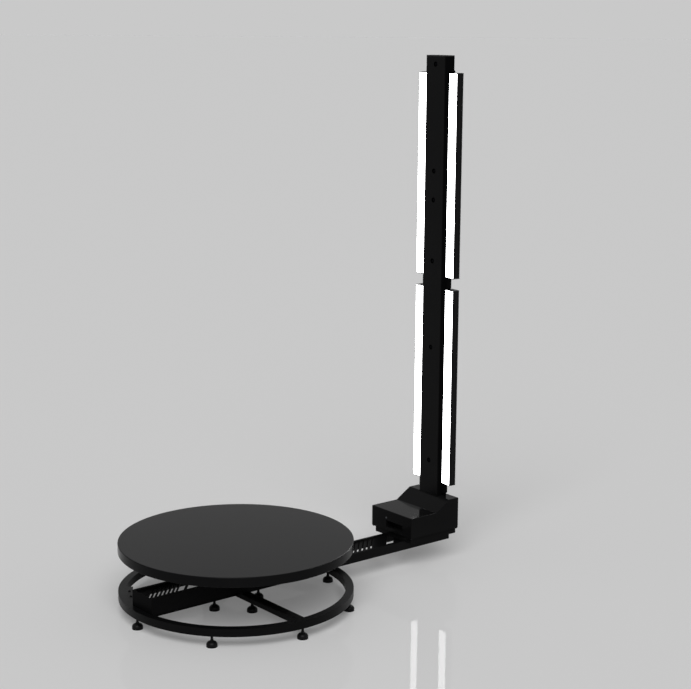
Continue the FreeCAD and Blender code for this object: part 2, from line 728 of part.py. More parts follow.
# Slewing bearing: fixed outer ring, turning inner ring, balls in facing grooves
ball_z = S("race_low") + S("race_high") / 2
body = new_body("OuterRaceBody")
shape = rectangle(S("race_pitch") + S("race_gap") / 2, S("race_outer"), S("race_low"),
                  S("race_low") + S("race_high") - S("race_lift"))
turn(body, sketch(body, "OuterRaceProfile", "XZ_Plane", ZERO, [shape]), "OuterRaceTurned")
sk = sketch(body, "OuterGrooveShape", "XZ_Plane", ZERO,
            [(S("race_pitch"), ball_z, S("ball_radius") + S("ball_fit"))])
groove(body, sk, "OuterGroove")
place(body, axis, ZERO, ZERO)
piece("bearing_outer_ring", body)

body = new_body("InnerRaceBody")
shape = rectangle(S("race_inner"), S("race_pitch") - S("race_gap") / 2, S("race_low") + S("race_lift"),
                  S("race_low") + S("race_high"))
turn(body, sketch(body, "InnerRaceProfile", "XZ_Plane", ZERO, [shape]), "InnerRaceTurned")
sk = sketch(body, "InnerGrooveShape", "XZ_Plane", ZERO,
            [(S("race_pitch"), ball_z, S("ball_radius") + S("ball_fit"))])
groove(body, sk, "InnerGroove")
place(body, axis, ZERO, ZERO)
piece("bearing_inner_ring", body)

balls = []
count = int(VALUES["ball_count"])
for number in range(count):
    angle = 2 * math.pi * number / count
    ball = doc.addObject("Part::Sphere", "Ball%02d" % number)
    bind(ball, "Radius", S("ball_radius"))
    place(ball, axis + S("race_pitch") * math.cos(angle), S("race_pitch") * math.sin(angle), ball_z)
    balls.append(ball)
piece("bearing_balls", group("BearingBalls", balls))

# Deck: a skin with a deep rim, a boss over the bearing, ribs, and the track that the wheel drives
skin_low = S("deck_top") - S("deck_plate")
rim_in = S("deck_radius") - S("deck_rim")
boss_low = S("race_low") + S("race_high")
track_high = deck_low + S("track_plate")
body = new_body("DeckBody")
shape = [(ZERO, boss_low), (S("race_pitch") - S("race_gap"), boss_low),
         (S("race_pitch") - S("race_gap"), boss_low + 4), (S("hub_radius"), boss_low + 10),
         (S("hub_radius"), skin_low), (rim_in, skin_low), (rim_in, deck_low), (S("deck_radius"), deck_low),
         (S("deck_radius"), S("deck_top")), (ZERO, S("deck_top"))]
turn(body, sketch(body, "DeckProfile", "XZ_Plane", ZERO, [shape]), "DeckTurned")
rib_half = S("rib_wide") / 2
sk = sketch(body, "RibShape", "XZ_Plane", ZERO,
            [[(S("hub_radius") - 4, deck_low + 2), (rim_in + 2, track_high + 8), (rim_in + 2, skin_low + 1),
              (S("hub_radius") - 4, skin_low + 1)]])
rib = pad(body, sk, "Rib", S("rib_wide"), middle=True)
pattern = body.newObject("PartDesign::PolarPattern", "RibCircle")
pattern.Originals = [rib]
pattern.Axis = (sk, ["V_Axis"])
pattern.Angle = 360
bind(pattern, "Occurrences", S("rib_count"))
body.Tip = pattern
track_in = S("track_mid") - S("track_wide") / 2
track_out = S("track_mid") + S("track_wide") / 2
shape = [(track_in, deck_low), (track_out, deck_low), (track_out, track_high + 12), (track_out - 3, track_high + 12),
         (track_out - 3, track_high), (track_in, track_high)]
turn(body, sketch(body, "TrackProfile", "XZ_Plane", ZERO, [shape]), "Track")
round_edges(body, "DeckEdge", S("deck_round"),
            lambda edge: edge.Curve.TypeId == "Part::GeomCircle"
            and abs(edge.Curve.Radius - VALUES["deck_radius"]) < 1e-6)
place(body, axis, ZERO, ZERO)
piece("turntable_deck", body)

# Drive: a gearmotor on a bracket, with a wheel that bears on the deck's track
wheel_z = deck_low - S("wheel_gap") - S("wheel_radius")
plate_out = S("track_mid") - S("wheel_wide") / 2 - 3
plate_in = plate_out - S("motor_bracket")
body = new_body("WheelBody")
bore = S("shaft_radius") + S("shaft_fit")
wide = S("wheel_wide") / 2
shape = [(bore, -wide), (S("wheel_radius") - 8, -wide), (S("wheel_radius") - 8, 2 - wide),
         (S("wheel_radius") - 1, 2 - wide), (S("wheel_radius"), 3 - wide), (S("wheel_radius"), wide - 3),
         (S("wheel_radius") - 1, wide - 2), (S("wheel_radius") - 8, wide - 2),
         (S("wheel_radius") - 8, wide), (bore, wide)]
turn(body, sketch(body, "WheelProfile", "XZ_Plane", ZERO, [shape]), "WheelTurned")
body.Placement = FreeCAD.Placement(FreeCAD.Vector(), AXES["y"])
place(body, axis, S("track_mid"), wheel_z)
piece("drive_wheel", body)

plate = box("MotorUpright", axis - S("motor_half"), axis + S("motor_half"), plate_in, plate_out,
            spoke_top, wheel_z + S("motor_radius"))
foot = box("MotorFoot", axis - half, axis + half, plate_out - S("motor_foot"), plate_out,
           spoke_top, spoke_top + S("motor_bracket"))
gussets = []
for number, side_x in enumerate((axis - half, axis + half - S("motor_bracket"))):
    gusset = doc.addObject("Part::Wedge", "MotorGusset%d" % number)
    for corner in ("Xmin", "Ymin", "Zmin", "X2min", "Z2min"):
        bind(gusset, corner, ZERO)
    bind(gusset, "Xmax", S("motor_bracket"))
    bind(gusset, "X2max", S("motor_bracket"))
    bind(gusset, "Ymax", S("gusset_long"))
    bind(gusset, "Z2max", S("gusset_long"))
    gusset.Zmax = 0.01
    place(gusset, side_x, plate_in + 0.5 - S("gusset_long"), spoke_top + S("motor_bracket") - 0.5)
    gussets.append(gusset)
hole = rod("MotorHole", axis, plate_in - S("motor_bracket"), wheel_z, S("shaft_radius") + S("motor_spigot"),
           S("motor_bracket") * 3, "y")
piece("motor_bracket", cut("MotorBracket", join("MotorBracketBody", [plate, foot] + gussets), [hole]))

near_long = S("motor_long") * 0.55
can = rod("MotorCan", axis, plate_in - near_long, wheel_z, S("motor_radius"), near_long, "y")
rear = rod("MotorRear", axis, plate_in - S("motor_long"), wheel_z, S("motor_radius") - 4,
           S("motor_long") - near_long + 1, "y")
shaft = rod("MotorShaft", axis, plate_in - 1, wheel_z, S("shaft_radius"),
            S("track_mid") + wide - plate_in + 1, "y")
piece("drive_motor", join("DriveMotor", [can, rear, shaft]))

# Electronics housing: a folded cover with a sloped step, over a shallow tray
run = S("slope_end") - S("shelf_end")
rise = S("box_top") - S("shelf_top")
turn_in = S("box_wall") * ((run * run + rise * rise).root() - run) / rise
body = new_body("CoverBody")
outer = [(S("box_front"), S("box_low")), (S("box_back"), S("box_low")), (S("box_back"), S("box_top")),
         (S("slope_end"), S("box_top")), (S("shelf_end"), S("shelf_top")), (S("box_front"), S("shelf_top"))]
pad(body, sketch(body, "CoverProfile", "XZ_Plane", ZERO, [outer]), "CoverPad", S("box_half") * 2, middle=True)


def cover_corner(edge):
    middle = edge.CenterOfMass
    return not (abs(middle.z - VALUES["box_low"]) < 1e-6 and not runs_along(edge, Z))


round_edges(body, "CoverRounds", S("box_round"), cover_corner)
wall = S("box_wall")
inner = [(S("box_front") + wall, S("box_low") - 1), (S("box_back") - wall, S("box_low") - 1),
         (S("box_back") - wall, S("box_top") - wall), (S("slope_end") + turn_in, S("box_top") - wall),
         (S("shelf_end") + turn_in, S("shelf_top") - wall), (S("box_front") + wall, S("shelf_top") - wall)]
pocket(body, sketch(body, "CoverHollow", "XZ_Plane", ZERO, [inner]), "CoverInside",
       (S("box_half") - wall) * 2, middle=True)
bay_top = S("bay_low") + S("bay_high")
sk = sketch(body, "BayBlock", "YZ_Plane", S("box_front") + 1,
            [rectangle(S("bay_right") - wall, S("bay_left") + wall, S("bay_low") - wall, bay_top + wall)])
pad(body, sk, "BayWalls", S("bay_deep") + wall - 1)
sk = sketch(body, "BayOpening", "YZ_Plane", S("box_front") - 1,
            [rectangle(S("bay_right"), S("bay_left"), S("bay_low"), bay_top)])
pocket(body, sk, "Bay", S("bay_deep") + 1, back=True)
boss_in = wall + S("boss_radius") - S("boss_bite")
boss_x = [S("box_front") + boss_in, S("box_back") - boss_in]
boss_y = [S("box_half") - boss_in, boss_in - S("box_half")]
bosses = [(x, y) for x in boss_x for y in boss_y]
sk = sketch(body, "BossShape", "XY_Plane", S("box_low"), [(x, y, S("boss_radius")) for x, y in bosses])
pad(body, sk, "Bosses", S("boss_high"))
sk = sketch(body, "BossHoleShape", "XY_Plane", S("box_low") - 1, [(x, y, S("screw_radius")) for x, y in bosses])
pocket(body, sk, "BossHoles", S("screw_long"), back=True)
gap = S("mast_gap")
mast_hole = rectangle(S("mast_front") - gap, mast_back + gap, -S("mast_half") - gap, S("mast_half") + gap)
sk = sketch(body, "MastOpening", "XY_Plane", S("box_top") + 1, [mast_hole])
pocket(body, sk, "MastHole", rise + 1)
sk = sketch(body, "LightHoleShape", "YZ_Plane", S("box_front") - 1,
            [(S("light_y"), S("light_z"), S("light_stem") + S("light_fit"))])
pocket(body, sk, "LightHole", wall + 2, back=True)
fit = S("panel_fit")
inlet_x = S("inlet_wide") / 2
inlet_h = S("inlet_high") / 2
switch_w = S("switch_wide") / 2 + S("switch_frame")
switch_h = S("switch_high") / 2 + S("switch_frame")
sk = sketch(body, "BackHoles", "YZ_Plane", S("box_back") + 1,
            [rectangle(S("inlet_y") - inlet_x - fit, S("inlet_y") + inlet_x + fit,
                       S("inlet_z") - inlet_h - fit, S("inlet_z") + inlet_h + fit),
             rectangle(S("inlet_y") - switch_w - fit, S("inlet_y") + switch_w + fit,
                       S("switch_z") - switch_h - fit, S("switch_z") + switch_h + fit)])
pocket(body, sk, "BackOpenings", wall + 2)
vent_y = -S("box_half") + 18
sk = sketch(body, "VentShape", "YZ_Plane", S("box_back") + 1,
            [rectangle(vent_y, vent_y + S("vent_wide"), S("inlet_z"), S("inlet_z") + S("vent_long"))])
vent = pocket(body, sk, "Vent", wall + 2)
row_of(body, sk, vent, "VentRow", S("vent_pitch") * (S("vent_count") - 1), S("vent_count"))
place(body, axis, ZERO, ZERO)
piece("housing_cover", body)

# Tray: a shallow pan on the arm beam, flanged outward to carry the cover
tray_x0 = S("box_front") + S("tray_inset")
tray_x1 = S("box_back") - wall - S("tray_gap")
tray_y = S("box_half") - S("tray_side")
pan = box("TrayPan", axis + tray_x0, axis + tray_x1, -tray_y, tray_y, arm_top, S("box_low"))
flange_gap = wall + S("tray_gap")
flange = box("TrayFlange", axis + S("box_front") + flange_gap, axis + S("box_back") - flange_gap,
             flange_gap - S("box_half"), S("box_half") - flange_gap, S("box_low") - wall, S("box_low"))
room = box("TrayRoom", axis + tray_x0 + wall, axis + tray_x1 - wall, wall - tray_y, tray_y - wall,
           arm_top + wall, S("box_low") + 5)
mast_slot = box("TrayMastHole", axis + plate_x0 - gap, axis + tray_x1 - wall, -plate_y - gap, plate_y + gap,
                arm_top - wall, arm_top + wall * 2)
tray_holes = [rod("TrayScrewHole%d" % n, axis + x, y, S("box_low") - wall - 5,
                  S("screw_radius") + S("screw_fit"), wall + 10) for n, (x, y) in enumerate(bosses)]
piece("housing_tray", cut("HousingTray", join("TrayBody", [pan, flange]), [room, mast_slot] + tray_holes))

screws = []
for number, (x, y) in enumerate(bosses):
    name = "CoverScrew%d" % number
    under = S("box_low") - wall
    head = rod(name + "Head", axis + x, y, under - S("screw_head_high"), S("screw_head"), S("screw_head_high"))
    shank = rod(name + "Shank", axis + x, y, under - 1, S("screw_radius") - S("screw_fit") / 2,
                S("screw_long") - 1)
    screws.append(join(name, [head, shank]))
piece("cover_screws", group("CoverScrews", screws))

lens = rod("LightLens", axis + S("box_front") - 1.5, S("light_y"), S("light_z"), S("light_radius"), 1.5, "x")
stem = rod("LightStem", axis + S("box_front") - 1, S("light_y"), S("light_z"), S("light_stem"), 12, "x")
piece("status_light", join("StatusLight", [lens, stem]))

# Units inside the housing, on pads on the tray's floor
floor = arm_top + wall
unit_low = floor + S("pad_high")


def unit(node, x0, y0, long, wide, high, step):
    """A closed case with a stepped lid and four feet."""
    case = box(node + "Case", x0, x0 + long, y0, y0 + wide, unit_low, unit_low + high - step)
    lid = box(node + "Lid", x0 + step, x0 + long - step, y0 + step, y0 + wide - step, unit_low, unit_low + high)
    feet = []
    for number, (fx, fy) in enumerate(((0, 0), (1, 0), (0, 1), (1, 1))):
        inset = S("pad_inset")
        feet.append(rod("%sFoot%d" % (node, number), x0 + inset + (long - inset * 2) * fx,
                        y0 + inset + (wide - inset * 2) * fy, floor, S("pad_radius"), S("pad_high") + step))
    return piece(node, join(node + "Unit", [case, lid] + feet))


unit_x0 = S("box_front") + S("bay_deep") + wall + S("unit_gap")
unit("power_supply", axis + unit_x0, S("unit_gap") - tray_y, S("supply_long"), S("supply_wide"),
     S("supply_high"), as_size(3))
unit("control_computer", axis + unit_x0, tray_y - S("unit_gap") - S("computer_wide"), S("computer_long"),
     S("computer_wide"), S("computer_high"), as_size(2))

# Power inlet and rocker switch in the housing's back
face = axis + S("box_back")
y = S("inlet_y")
shell = box("InletShell", face - S("inlet_deep"), face + 1, y - inlet_x, y + inlet_x,
            S("inlet_z") - inlet_h, S("inlet_z") + inlet_h)
lip = box("InletLip", face, face + S("inlet_plate"), y - inlet_x - S("inlet_lip"), y + inlet_x + S("inlet_lip"),
          S("inlet_z") - inlet_h - S("inlet_lip"), S("inlet_z") + inlet_h + S("inlet_lip"))
well = box("InletWell", face - S("inlet_deep") + 6, face + 10, y - inlet_x + 2, y + inlet_x - 2,
           S("inlet_z") - inlet_h + 2, S("inlet_z") + inlet_h - 2)
socket = cut("InletSocket", join("InletBody", [shell, lip]), [well])
blades = [box("Blade%d" % n, face - S("inlet_deep") + 5, face - 4, y + off - 2, y + off + 2,
              S("inlet_z") + up - 1, S("inlet_z") + up + 1)
          for n, (off, up) in enumerate(((-7, -2), (0, 3), (7, -2)))]
piece("power_inlet", join("PowerInlet", [socket] + blades))

z = S("switch_z")
slot_w = S("switch_wide") / 2 + S("switch_gap")
slot_h = S("switch_high") / 2 + S("switch_gap")
shell = box("SwitchShell", face - S("switch_body"), face + 1, y - switch_w, y + switch_w, z - switch_h, z + switch_h)
lip = box("SwitchLip", face, face + S("inlet_plate"), y - switch_w - S("inlet_lip"), y + switch_w + S("inlet_lip"),
          z - switch_h - 0.5, z + switch_h + S("inlet_lip"))
well = box("SwitchWell", face - S("switch_deep") - 4, face + 10, y - slot_w, y + slot_w, z - slot_h, z + slot_h)
pin = rod("RockerPin", face - 2, y - switch_w + 1, z, S("rocker_pin"), switch_w * 2 - 2, "y")
piece("switch_frame", join("SwitchFrame", [cut("SwitchCase", join("SwitchCaseBody", [shell, lip]), [well]), pin]))

body = new_body("RockerBody")
top = S("switch_high") / 2 - 0.6
shape = [(-S("switch_deep") + 3, -top + 2), (ZERO, -top), (S("inlet_plate") + 1.5, -top), (S("inlet_plate"), ZERO),
         (S("inlet_plate") + 1.5, top), (ZERO, top), (-S("switch_deep") + 3, top - 2)]
pad(body, sketch(body, "RockerProfile", "XZ_Plane", ZERO, [shape]), "RockerPad", S("switch_wide"), middle=True)
sk = sketch(body, "RockerBore", "XZ_Plane", ZERO, [(as_size(-2) + 0, ZERO, S("rocker_pin") + S("rocker_fit"))])
pocket(body, sk, "RockerHole", S("switch_wide") + 5, middle=True)
tilt = math.radians(VALUES["switch_tilt"])
body.Placement = FreeCAD.Placement(FreeCAD.Vector(), FreeCAD.Rotation(Y, VALUES["switch_tilt"]))
place(body, face - 2 + 2 * math.cos(tilt), y, z - 2 * math.sin(tilt))
piece("power_switch", body)

# Mast: a rounded rectangular tube on a welded base plate, with a hole for each camera
CAMERAS = [S("camera_%d_z" % number) for number in range(1, 6)] + [S("mast_top") - S("camera_drop")]
body = new_body("MastBody")
sk = sketch(body, "MastProfile", "XY_Plane", plate_top - 1,
            [rectangle(S("mast_front"), mast_back, -S("mast_half"), S("mast_half"))])
pad(body, sk, "MastPad", S("mast_top") - plate_top + 1)
round_edges(body, "MastCorners", S("mast_round"), lambda edge: runs_along(edge, Z))
wall = S("mast_wall")
sk = sketch(body, "MastInside", "XY_Plane", S("mast_top") + 1,
            [rectangle(S("mast_front") + wall, mast_back - wall, wall - S("mast_half"), S("mast_half") - wall)])
pocket(body, sk, "MastHollow", S("mast_top") - plate_top + 5)
sk = sketch(body, "LensHoles", "YZ_Plane", S("mast_front") - 1,
            [(ZERO, height, S("lens_hole")) for height in CAMERAS])
pocket(body, sk, "LensHolePocket", wall + 2, back=True)
sk = sketch(body, "BasePlateShape", "XY_Plane", arm_top, [rectangle(plate_x0, plate_x1, -plate_y, plate_y)])
pad(body, sk, "BasePlate", S("mast_plate"))
sk = sketch(body, "BasePlateHoles", "XY_Plane", plate_top + 1,
            [(x, y, S("bolt_radius") + S("bolt_fit")) for x, y in mast_spots])
pocket(body, sk, "BasePlateBoltHoles", S("mast_plate") + 2)
place(body, axis, ZERO, ZERO)
piece("mast_tube", body)

body = new_body("CapBody")
fit = S("cap_fit")
sk = sketch(body, "CapProfile", "XY_Plane", S("mast_top"),
            [rectangle(S("mast_front"), mast_back, -S("mast_half"), S("mast_half"))])
pad(body, sk, "CapPad", S("cap_plate"))
round_edges(body, "CapCorners", S("mast_round"), lambda edge: runs_along(edge, Z))
sk = sketch(body, "PlugProfile", "XY_Plane", S("mast_top") - S("cap_plug"),
            [rectangle(S("mast_front") + wall + fit, mast_back - wall - fit,
                       wall + fit - S("mast_half"), S("mast_half") - wall - fit),
             rectangle(S("mast_front") + wall + fit + 3, mast_back - wall - fit - 3,
                       wall + fit + 3 - S("mast_half"), S("mast_half") - wall - fit - 3)])
pad(body, sk, "CapPlug", S("cap_plug") + 1)
place(body, axis, ZERO, ZERO)
piece("mast_cap", body)

# Cameras behind the holes
wall_in = axis + S("mast_front") + S("mast_wall")
for number, z in enumerate(CAMERAS, start=1):
    case = box("CameraCase%d" % number, wall_in, wall_in + S("camera_deep"), -S("camera_wide") / 2,
               S("camera_wide") / 2, z - S("camera_high") / 2, z + S("camera_high") / 2)
    barrel = rod("Barrel%d" % number, axis + S("mast_front") + S("lens_set"), ZERO, z,
                 S("lens_hole") - S("lens_fit"), S("mast_wall") - S("lens_set") + 1, "x")
    dish = doc.addObject("Part::Cone", "Dish%d" % number)
    bind(dish, "Radius1", S("lens_hole") - S("lens_fit") - 1.2)
    bind(dish, "Radius2", S("lens_hole") * 0.5)
    bind(dish, "Height", S("mast_wall"))
    dish.Placement = FreeCAD.Placement(FreeCAD.Vector(), AXES["x"])
    place(dish, axis + S("mast_front") + S("lens_set"), ZERO, z)
    piece("camera_%d" % number, cut("Camera%d" % number, join("CameraBody%d" % number, [case, barrel]), [dish]))

# Lamps: an open profile with two ledges, a diffuser set on them, and an end cap at each end
LEVELS = [("lower", S("lamp_low")), ("upper", S("lamp_low") + S("lamp_long") + S("lamp_between"))]
SIDES = [("left", 1), ("right", -1)]
front = -S("lamp_deep") / 2
back = S("lamp_deep") / 2
near = -S("pivot_in")
far = S("lamp_wide") - S("pivot_in")
wall = S("lamp_wall")
ledge = S("lamp_ledge")


def lamp_frame(body, side):
    sign = 1 if side == "left" else -1
    turned = FreeCAD.Rotation(Z, VALUES["lamp_toe"] * sign)
    body.Placement = FreeCAD.Placement(FreeCAD.Vector(), turned)
    place(body, axis + S("pivot_x"), S("pivot_y") * sign, ZERO)


def across(points, sign):
    """Lamp outline points (depth, width) set out for one side of the mast."""
    return [(x, y * sign) for x, y in points]


for level, low in LEVELS:
    for side, sign in SIDES:
        name = level.capitalize() + side.capitalize()
        body = new_body(name + "ProfileBody")
        seat = front + S("diffuser_deep") + S("diffuser_fit")
        shape = [(front, near), (back, near), (back, far), (front, far), (front, far - wall), (seat, far - wall),
                 (seat, far - wall - ledge), (seat + wall, far - wall - ledge), (seat + wall, far - wall),
                 (back - wall, far - wall), (back - wall, near + wall), (seat + wall, near + wall),
                 (seat + wall, near + wall + ledge), (seat, near + wall + ledge), (seat, near + wall),
                 (front, near + wall)]
        sk = sketch(body, name + "Section", "XY_Plane", low + S("lamp_cap"), [across(shape, sign)])
        pad(body, sk, name + "Extrusion", S("lamp_long") - S("lamp_cap") * 2)
        lamp_frame(body, side)
        piece("lamp_%s_%s_profile" % (level, side), body)

        body = new_body(name + "DiffuserBody")
        fit = S("diffuser_fit")
        shape = rectangle(front, front + S("diffuser_deep"), near + wall + fit, far - wall - fit)
        sk = sketch(body, name + "Slab", "XY_Plane", low + S("lamp_cap"), [across(shape, sign)])
        pad(body, sk, name + "SlabPad", S("lamp_long") - S("lamp_cap") * 2)
        lamp_frame(body, side)
        piece("lamp_%s_%s_diffuser" % (level, side), body)

        caps = []
        for end, z0 in (("Foot", low), ("Head", low + S("lamp_long") - S("lamp_cap"))):
            body = new_body(name + end + "CapBody")
            sk = sketch(body, name + end + "CapShape", "XY_Plane", z0,
                        [across(rectangle(front, back, near, far), sign),
                         (ZERO, ZERO, S("pin_radius") + S("pin_fit"))])
            pad(body, sk, name + end + "CapPad", S("lamp_cap"))
            boss_z = z0 if end == "Foot" else z0 - S("cap_boss")
            sk = sketch(body, name + end + "BossShape", "XY_Plane", boss_z,
                        [(ZERO, ZERO, S("cap_boss_radius")), (ZERO, ZERO, S("pin_radius") + S("pin_fit"))])
            pad(body, sk, name + end + "BossPad", S("cap_boss") + S("lamp_cap"))
            lamp_frame(body, side)
            caps.append(body)
        piece("lamp_%s_%s_caps" % (level, side), group(name + "Caps", caps))

# Lamp brackets on the mast's sides: one below, one between and one above the lamps on each side
lamp_mid = S("lamp_low") + S("lamp_long") + S("lamp_between") / 2
lamp_head = S("lamp_low") + S("lamp_long") * 2 + S("lamp_between")
gap = S("lamp_between") / 2
brackets = []
for side, sign in SIDES:
    for spot, z, down, up in (("Low", S("lamp_low") - gap, False, True), ("Mid", lamp_mid, True, True),
                              ("High", lamp_head + gap, True, False)):
        name = side.capitalize() + spot
        inner_y = S("mast_half")
        outer_y = S("pivot_y") + S("bracket_wide") / 2
        leg = (inner_y, inner_y + S("leg_plate"))
        reach_y = (inner_y, outer_y)
        if sign < 0:
            leg = (-leg[1], -leg[0])
            reach_y = (-outer_y, -inner_y)
        x0 = axis + S("pivot_x") - S("bracket_wide") / 2
        x1 = x0 + S("bracket_wide")
        plate = box(name + "Leg", x0, x1, leg[0], leg[1], z - S("leg_high") / 2, z + S("leg_high") / 2)
        arm = box(name + "Arm", x0, x1, reach_y[0], reach_y[1], z - S("arm_plate") / 2, z + S("arm_plate") / 2)
        pin_low = z - gap - S("lamp_cap") - S("cap_boss") if down else z
        pin_high = z + gap + S("lamp_cap") + S("cap_boss") if up else z
        pin = rod(name + "Pin", axis + S("pivot_x"), S("pivot_y") * sign, pin_low, S("pin_radius"),
                  pin_high - pin_low)
        brackets.append(join(name + "Bracket", [plate, arm, pin]))
piece("lamp_brackets", group("LampBrackets", brackets))

doc.recompute()

# Checks before anything is written
faults = [obj.Name for obj in doc.Objects if "Invalid" in obj.State or "Error" in obj.State]
for node, obj in PIECES:
    if obj.Shape.isNull() or not obj.Shape.isValid() or not obj.Shape.Solids:
        faults.append(node)
if faults:
    raise SystemExit("failed: " + ", ".join(faults))
if len(PIECES) > 60:
    raise SystemExit("too many pieces: %d" % len(PIECES))
for node, obj in PIECES:
    obj.Shape.exportStep("parts/%s.step" % node)
print("wrote", len(PIECES), "pieces")
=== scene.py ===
import json
import math
import bmesh
import bpy
from mathutils import Matrix, Vector


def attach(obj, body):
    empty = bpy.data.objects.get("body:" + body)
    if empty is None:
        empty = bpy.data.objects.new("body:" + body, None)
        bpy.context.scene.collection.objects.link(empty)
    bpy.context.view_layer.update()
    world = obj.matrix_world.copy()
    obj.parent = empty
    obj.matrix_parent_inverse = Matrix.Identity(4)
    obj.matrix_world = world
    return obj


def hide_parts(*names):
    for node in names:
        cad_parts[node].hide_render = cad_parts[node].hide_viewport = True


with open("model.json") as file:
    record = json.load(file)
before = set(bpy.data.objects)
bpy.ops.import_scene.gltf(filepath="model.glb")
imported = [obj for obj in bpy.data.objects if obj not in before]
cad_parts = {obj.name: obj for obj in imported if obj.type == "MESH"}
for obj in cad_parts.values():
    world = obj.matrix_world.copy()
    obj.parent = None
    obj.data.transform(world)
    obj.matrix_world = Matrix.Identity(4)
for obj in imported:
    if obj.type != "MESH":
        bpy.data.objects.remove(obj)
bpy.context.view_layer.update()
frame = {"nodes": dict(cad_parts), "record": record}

# The turntable's axis in the model's frame, and the deck radius, in metres
AXIS_X = -0.29403
DECK_R = 0.45

SLOTS = {part["node"]: part["material_slot"] for part in frame["record"]["subparts"]}

scene = bpy.context.scene
scene.view_settings.view_transform = "Standard"


# Camera: angles in radians, focal length in pixels, and its place from the axis in deck radii

HEADING = 0.8911
TILT = 0.1979
ROLL = -0.0069
FOCAL = 1624.97
PHOTO_WIDTH = 691.0
SENSOR_WIDTH = 36.0
CAMERA_SPOT = (-7.5884, -10.8488, 4.9219)
FAR_CLIP = 200.0


def add_camera():
    level = math.cos(TILT)
    forward = Vector((level * math.cos(HEADING), level * math.sin(HEADING), -math.sin(TILT)))
    right = Vector((math.sin(HEADING), -math.cos(HEADING), 0.0))
    down = forward.cross(right)
    across = math.cos(ROLL) * right + math.sin(ROLL) * down
    below = -math.sin(ROLL) * right + math.cos(ROLL) * down
    data = bpy.data.cameras.new("camera")
    data.sensor_fit = "HORIZONTAL"
    data.sensor_width = SENSOR_WIDTH
    data.lens = FOCAL * SENSOR_WIDTH / PHOTO_WIDTH
    data.clip_end = FAR_CLIP
    camera = bpy.data.objects.new("camera", data)
    scene.collection.objects.link(camera)
    spot = Vector(CAMERA_SPOT) * DECK_R + Vector((AXIS_X, 0.0, 0.0))
    columns = (across, -below, -forward)
    turned = Matrix([[column[row] for column in columns] for row in range(3)]).to_4x4()
    camera.matrix_world = Matrix.Translation(spot) @ turned
    scene.camera = camera


add_camera()


# Materials

RELIEF_DEPTH = 0.0002


def new_material(name):
    material = bpy.data.materials.new(name)
    material.use_nodes = True
    tree = material.node_tree
    shader = tree.nodes["Principled BSDF"]
    return material, tree, shader


def add(tree, kind, **settings):
    """Adds a node; a setting that starts with in_ is the value of that socket."""
    node = tree.nodes.new(kind)
    for key, value in settings.items():
        if key.startswith("in_"):
            node.inputs[key[3:].replace("_", " ")].default_value = value
        else:
            setattr(node, key, value)
    return node


def noise(tree, scale, detail):
    """Noise in the object's own metres."""
    place = add(tree, "ShaderNodeTexCoord")
    field = add(tree, "ShaderNodeTexNoise", in_Scale=scale, in_Detail=detail, in_Roughness=0.5)
    tree.links.new(place.outputs["Object"], field.inputs["Vector"])
    return field


def spread(tree, source, low, high, start=0.3, end=0.7):
    """Maps a value between start and end to a value between low and high."""
    scaled = add(tree, "ShaderNodeMapRange")
    scaled.inputs["From Min"].default_value = start
    scaled.inputs["From Max"].default_value = end
    scaled.inputs["To Min"].default_value = low
    scaled.inputs["To Max"].default_value = high
    tree.links.new(source, scaled.inputs["Value"])
    return scaled.outputs["Result"]


def tint(tree, source, dark, light):
    """Maps a noise value to a colour between dark and light."""
    ramp = add(tree, "ShaderNodeValToRGB")
    ramp.color_ramp.elements[0].position = 0.3
    ramp.color_ramp.elements[0].color = (*dark, 1.0)
    ramp.color_ramp.elements[1].position = 0.7
    ramp.color_ramp.elements[1].color = (*light, 1.0)
    tree.links.new(source, ramp.inputs["Fac"])
    return ramp.outputs["Color"]


def finish_surface(tree, shader, height, strength, soften):
    """Fine relief over softened edges."""
    edge = add(tree, "ShaderNodeBevel", samples=4)
    edge.inputs["Radius"].default_value = soften
    relief = add(tree, "ShaderNodeBump")
    relief.inputs["Strength"].default_value = strength
    relief.inputs["Distance"].default_value = RELIEF_DEPTH
    tree.links.new(height, relief.inputs["Height"])
    tree.links.new(edge.outputs["Normal"], relief.inputs["Normal"])
    tree.links.new(relief.outputs["Normal"], shader.inputs["Normal"])


def shade_by_face_direction(tree, level, side_level):
    """Painted shade: one specular level for most faces, and another for those that look along Y."""
    place = add(tree, "ShaderNodeNewGeometry")
    parts = add(tree, "ShaderNodeSeparateXYZ")
    tree.links.new(place.outputs["Normal"], parts.inputs["Vector"])
    size = add(tree, "ShaderNodeMath", operation="ABSOLUTE")
    tree.links.new(parts.outputs["Y"], size.inputs[0])
    return spread(tree, size.outputs["Value"], level, side_level, start=0.6, end=0.8)


def painted(name, colour, rough, grain=900.0, strength=0.1, specular=0.1, soften=0.0008, metal=0.0,
            side_specular=None):
    """A coat of paint: slight cloudiness, an even fine texture, and wear that changes its roughness.

    With side_specular, faces that look along Y have that specular level instead, as painted shade that
    darkens one set of faces by gloss alone.
    """
    material, tree, shader = new_material(name)
    clouds = noise(tree, 6.0, 4.0)
    pores = noise(tree, grain, 2.0)
    darker = tuple(c * 0.86 for c in colour)
    lighter = tuple(min(c * 1.12, 1.0) for c in colour)
    tree.links.new(tint(tree, clouds.outputs["Fac"], darker, lighter), shader.inputs["Base Color"])
    tree.links.new(spread(tree, clouds.outputs["Fac"], rough * 0.9, rough * 1.12), shader.inputs["Roughness"])
    shader.inputs["Metallic"].default_value = metal
    if side_specular is None:
        shader.inputs["Specular IOR Level"].default_value = specular
    else:
        tree.links.new(shade_by_face_direction(tree, specular, side_specular), shader.inputs["Specular IOR Level"])
    finish_surface(tree, shader, pores.outputs["Fac"], strength, soften)
    return material


